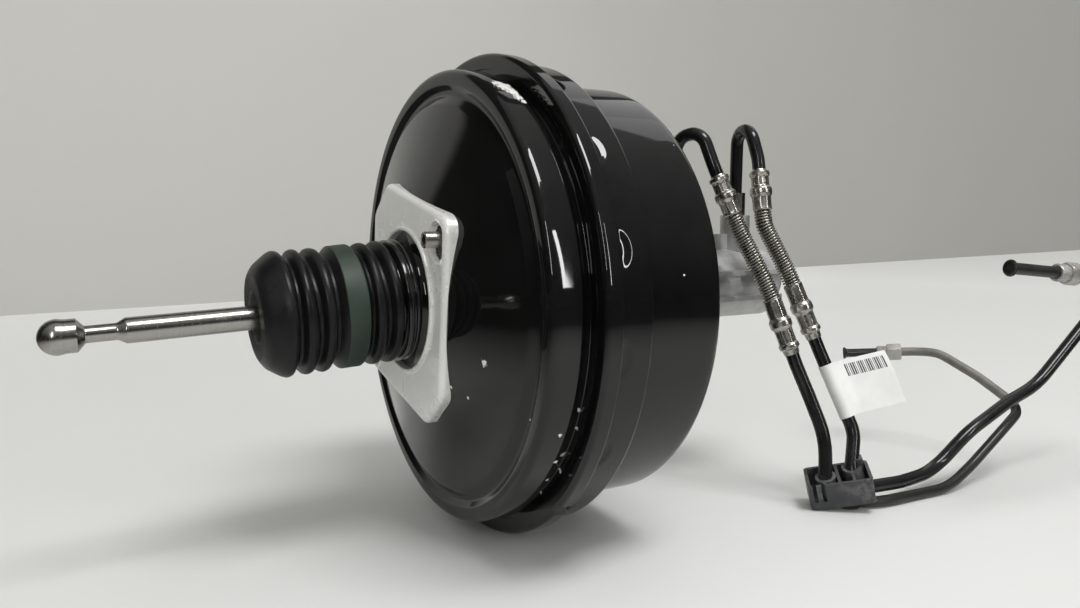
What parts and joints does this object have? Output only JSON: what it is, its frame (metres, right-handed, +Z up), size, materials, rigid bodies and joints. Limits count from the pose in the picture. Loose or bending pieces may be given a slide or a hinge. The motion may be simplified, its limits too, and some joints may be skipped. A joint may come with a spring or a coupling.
{
  "type": "brake booster",
  "caption": "Tandem vacuum brake booster with push rod, dust boot, master cylinder, brake hoses and rigid brake pipes, with its control valve and pistons inside.",
  "frame": {"origin": "on the booster axis, in the rear face of the mounting plate", "axes": "+X along the booster axis towards the master cylinder, -X towards the pedal, +Z up"},
  "size_m": [0.648, 0.3022, 0.2592],
  "materials": {
    "black_shell_paint": "gloss black stamped steel shells",
    "zinc_plate": "zinc plated mounting plate",
    "bare_steel": "turned and plated steel",
    "boot_rubber": "matte moulded rubber",
    "seal_rubber": "moulded rubber",
    "hose_rubber": "ribbed rubber hose",
    "valve_moulding": "phenolic moulding",
    "filter_felt": "felt filter",
    "cast_aluminium": "as-cast aluminium",
    "turned_aluminium": "turned aluminium",
    "spring_steel": "drawn wire",
    "pipe_coating": "coated steel pipe",
    "clip_plastic": "moulded nylon",
    "valve_plastic": "moulded nylon",
    "label_paper": "matte white paper"
  },
  "bodies": {
    "housing": {"rear_shell": "black_shell_paint", "front_shell": "black_shell_paint", "mounting_plate": "zinc_plate", "mounting_studs": "bare_steel", "rear_diaphragm": "seal_rubber", "front_diaphragm": "seal_rubber", "centre_plate": "bare_steel", "centre_seal": "seal_rubber", "neck_guide": "valve_plastic", "neck_seal": "seal_rubber", "piston_return_spring": "spring_steel", "dust_boot": "boot_rubber", "master_cylinder": "cast_aluminium", "spigot_oring": "seal_rubber", "cylinder_studs_nuts": "bare_steel", "inlet_grommets": "seal_rubber", "primary_spring": "spring_steel", "secondary_spring": "spring_steel", "check_grommet": "seal_rubber", "check_valve": "valve_plastic", "port_nuts": "bare_steel", "lower_pipe_near": "pipe_coating", "lower_pipe_far": "pipe_coating", "clip_block": "clip_plastic", "paper_flag": "label_paper", "upper_pipe_near": "pipe_coating", "upper_ferrule_near": "bare_steel", "brake_hose_near": "hose_rubber", "hose_guard_near": "spring_steel", "lower_ferrule_near": "bare_steel", "upper_pipe_far": "pipe_coating", "upper_ferrule_far": "bare_steel", "brake_hose_far": "hose_rubber", "hose_guard_far": "spring_steel", "lower_ferrule_far": "bare_steel"},
    "power_piston": {"valve_body": "valve_moulding", "stop_key": "bare_steel", "poppet": "seal_rubber", "poppet_retainer": "bare_steel", "poppet_spring": "spring_steel", "valve_return_spring": "spring_steel", "air_filter": "filter_felt", "silencer": "filter_felt", "reaction_disc": "seal_rubber", "output_rod": "bare_steel", "rear_diaphragm_plate": "bare_steel", "front_diaphragm_plate": "bare_steel"},
    "valve_plunger": {"valve_plunger": "bare_steel"},
    "push_rod": {"push_rod": "bare_steel"},
    "primary_piston": {"primary_piston": "turned_aluminium", "primary_cups": "seal_rubber"},
    "secondary_piston": {"secondary_piston": "turned_aluminium", "secondary_cups": "seal_rubber"},
    "near_end_nut": {"end_nut_near": "bare_steel"},
    "far_end_nut": {"end_nut_far": "bare_steel"}
  },
  "joints": [
    {"name": "power_piston_slide", "type": "slide", "parent": "housing", "child": "power_piston", "axis": [1, 0, 0], "range_m": [0, 0.032], "stiffness_N_per_m": 2500, "springref_m": -0.04, "deforming": ["dust_boot", "rear_diaphragm", "front_diaphragm", "piston_return_spring"]},
    {"name": "valve_plunger_slide", "type": "slide", "parent": "power_piston", "child": "valve_plunger", "axis": [1, 0, 0], "range_m": [0, 0.0015], "stiffness_N_per_m": 2000, "springref_m": -0.005, "deforming": ["valve_return_spring"]},
    {"name": "push_rod_swivel", "type": "hinge", "parent": "valve_plunger", "child": "push_rod", "pos_m": [0.035, 0, 0], "axis": [0, 1, 0], "range_deg": [0, 3.2]},
    {"name": "primary_piston_slide", "type": "slide", "parent": "housing", "child": "primary_piston", "axis": [1, 0, 0], "range_m": [0, 0.032], "deforming": ["primary_spring"]},
    {"name": "secondary_piston_slide", "type": "slide", "parent": "housing", "child": "secondary_piston", "axis": [1, 0, 0], "range_m": [0, 0.016], "deforming": ["secondary_spring"]},
    {"name": "near_end_nut_spin", "type": "hinge", "parent": "housing", "child": "near_end_nut", "pos_m": [0.3624, 0.02, -0.0613], "axis": [-0.667, 0.7411, -0.076], "continuous": true},
    {"name": "far_end_nut_spin", "type": "hinge", "parent": "housing", "child": "far_end_nut", "pos_m": [0.274, -0.16, 0.017], "axis": [-0.988, 0.1235, 0.0926], "continuous": true}
  ],
  "couplings": [
    {"joint": "primary_piston_slide", "follows": "power_piston_slide", "ratio": 1},
    {"joint": "secondary_piston_slide", "follows": "power_piston_slide", "ratio": 0.5}
  ]
}
